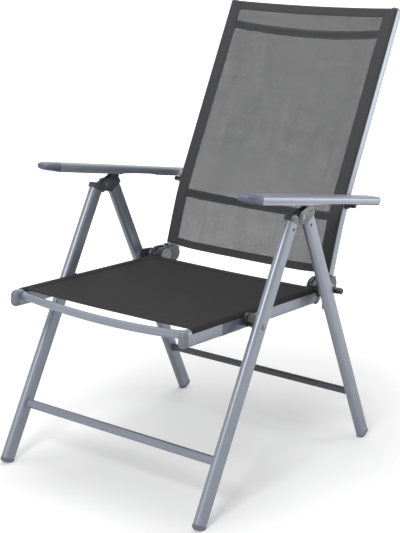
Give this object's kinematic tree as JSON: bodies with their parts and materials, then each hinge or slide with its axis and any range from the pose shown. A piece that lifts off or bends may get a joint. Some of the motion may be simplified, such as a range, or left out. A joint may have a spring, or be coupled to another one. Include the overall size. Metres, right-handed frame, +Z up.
{
  "type": "folding lawn chair",
  "caption": "Folding high-back garden armchair: oval aluminium tube frame, legs hinged under the armrests, textile mesh slings for seat and back, and a recline rack in each armrest.",
  "frame": {"origin": "on the floor, under the middle of the chair's bounding box, in the open, reclined state shown", "axes": "+X to the sitter's left, -Y towards the front of the chair, +Z up"},
  "size_m": [0.606, 0.8668, 1.0467],
  "materials": {
    "frame": "satin",
    "light_plastic": "matte",
    "dark_plastic": "matte",
    "black_plastic": "matte",
    "steel": "satin",
    "sling": "matte"
  },
  "bodies": {
    "front_legs": {"front_leg_left": "frame", "front_leg_right": "frame", "front_foot_left": "light_plastic", "front_foot_right": "light_plastic", "front_hinge_head_left": "dark_plastic", "front_hinge_head_right": "dark_plastic", "leg_hinge_pin_left": "steel", "leg_hinge_pin_right": "steel", "seat_support_pin_left": "steel", "seat_support_pin_right": "steel", "front_crossbar": "frame"},
    "rear_legs": {"rear_leg_left": "frame", "rear_leg_right": "frame", "rear_foot_left": "light_plastic", "rear_foot_right": "light_plastic", "rear_hinge_head_left": "dark_plastic", "rear_hinge_head_right": "dark_plastic", "rear_pivot_bracket_left": "steel", "rear_pivot_bracket_right": "steel", "rear_pivot_pin_left": "black_plastic", "rear_pivot_pin_right": "black_plastic", "rear_pivot_cap_left": "light_plastic", "rear_pivot_cap_right": "light_plastic", "armrest_bush_left": "black_plastic", "armrest_bush_right": "black_plastic", "rear_crossbar": "frame"},
    "seat": {"seat_side_tube_left": "frame", "seat_side_tube_right": "frame", "seat_front_cap_left": "light_plastic", "seat_front_cap_right": "light_plastic", "seat_hinge_housing_left": "dark_plastic", "seat_hinge_housing_right": "dark_plastic", "seat_hook_plate_left": "steel", "seat_hook_plate_right": "steel", "seat_front_bar": "frame", "seat_rear_bar": "frame", "seat_sling": "sling"},
    "back": {"back_side_tube_left": "frame", "back_side_tube_right": "frame", "back_hinge_knuckle_left": "dark_plastic", "back_hinge_knuckle_right": "dark_plastic", "back_pivot_bush_left": "black_plastic", "back_pivot_bush_right": "black_plastic", "back_top_cap_left": "light_plastic", "back_top_cap_right": "light_plastic", "armrest_catch_left": "black_plastic", "armrest_catch_right": "black_plastic", "back_upper_bar": "frame", "back_lower_bar": "frame", "back_sling": "sling"},
    "armrest_left_arm": {"armrest_left": "frame", "armrest_front_cap_left": "light_plastic", "armrest_rear_cap_left": "light_plastic", "armrest_rack_left": "black_plastic", "armrest_pin_left": "steel"},
    "armrest_right_arm": {"armrest_right": "frame", "armrest_front_cap_right": "light_plastic", "armrest_rear_cap_right": "light_plastic", "armrest_rack_right": "black_plastic", "armrest_pin_right": "steel"}
  },
  "joints": [
    {"name": "leg_fold", "type": "hinge", "parent": "front_legs", "child": "rear_legs", "pos_m": [0, -0.06155, 0.613], "axis": [-1, 0, 0], "range_deg": [0, 48]},
    {"name": "seat_fold", "type": "hinge", "parent": "rear_legs", "child": "seat", "pos_m": [0, 0.10446, 0.41297], "axis": [-1, 0, 0], "range_deg": [0, 52.8]},
    {"name": "back_recline", "type": "hinge", "parent": "rear_legs", "child": "back", "pos_m": [0, 0.10446, 0.41297], "axis": [1, 0, 0], "range_deg": [-12, 46]},
    {"name": "armrest_left_tilt", "type": "hinge", "parent": "rear_legs", "child": "armrest_left_arm", "pos_m": [0, -0.01955, 0.64], "axis": [1, 0, 0], "range_deg": [-3.84, 14.72]},
    {"name": "armrest_right_tilt", "type": "hinge", "parent": "rear_legs", "child": "armrest_right_arm", "pos_m": [0, -0.01955, 0.64], "axis": [1, 0, 0], "range_deg": [-3.84, 14.72]}
  ],
  "couplings": [
    {"joint": "seat_fold", "follows": "leg_fold", "ratio": 1.1},
    {"joint": "armrest_left_tilt", "follows": "back_recline", "ratio": 0.32},
    {"joint": "armrest_right_tilt", "follows": "back_recline", "ratio": 0.32}
  ]
}
